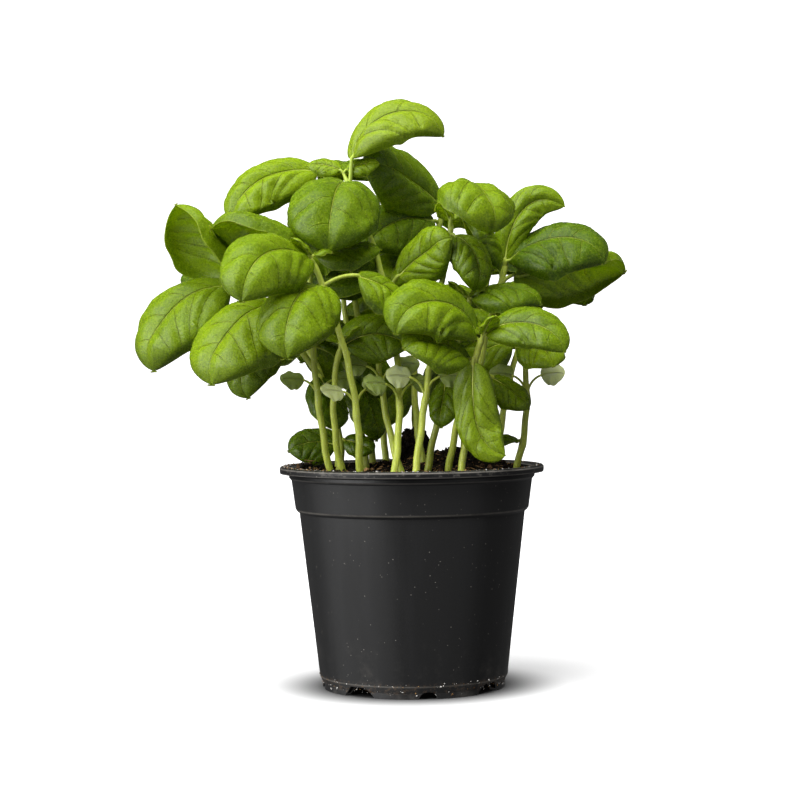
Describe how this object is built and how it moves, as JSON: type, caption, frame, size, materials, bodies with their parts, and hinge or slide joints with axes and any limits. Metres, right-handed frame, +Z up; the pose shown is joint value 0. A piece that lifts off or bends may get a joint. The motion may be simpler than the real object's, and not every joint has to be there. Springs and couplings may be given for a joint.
{
  "type": "potted basil plant",
  "caption": "Bushy basil plant with domed glossy leaves on slim upright stems, rooted in peat in a round black nursery pot.",
  "frame": {"origin": "middle of the whole plant's footprint, on the surface the pot stands on; the pot's axis is 11.8 mm to the right of it and 18.9 mm in front of it", "axes": "+Z up along the pot's axis, -Y towards the viewer, +X to the viewer's right"},
  "size_m": [0.2203, 0.2051, 0.2641],
  "materials": {
    "pot_plastic": "satin",
    "peat": "matte",
    "leaf": "satin"
  },
  "bodies": {
    "root": {"pot": "pot_plastic", "soil": "peat", "leafy_stem_top": "leaf", "leafy_stem_front_left": "leaf", "leafy_stem_front_right": "leaf", "leafy_stem_right": "leaf", "leafy_stem_middle": "leaf", "leafy_stem_left": "leaf", "leafy_stem_far_left": "leaf", "leafy_stem_short_left": "leaf", "leafy_stem_upper_left": "leaf", "leafy_stem_upper_right": "leaf", "leafy_stem_edge_right": "leaf", "leafy_stem_inner_right": "leaf", "leafy_stem_inner_left": "leaf", "leafy_stem_behind_left": "leaf", "leafy_stem_on_clod": "leaf", "leafy_stem_back_far_left": "leaf", "leafy_stem_back_left": "leaf", "leafy_stem_back_right": "leaf", "leafy_stem_back_far_right": "leaf"}
  },
  "joints": []
}
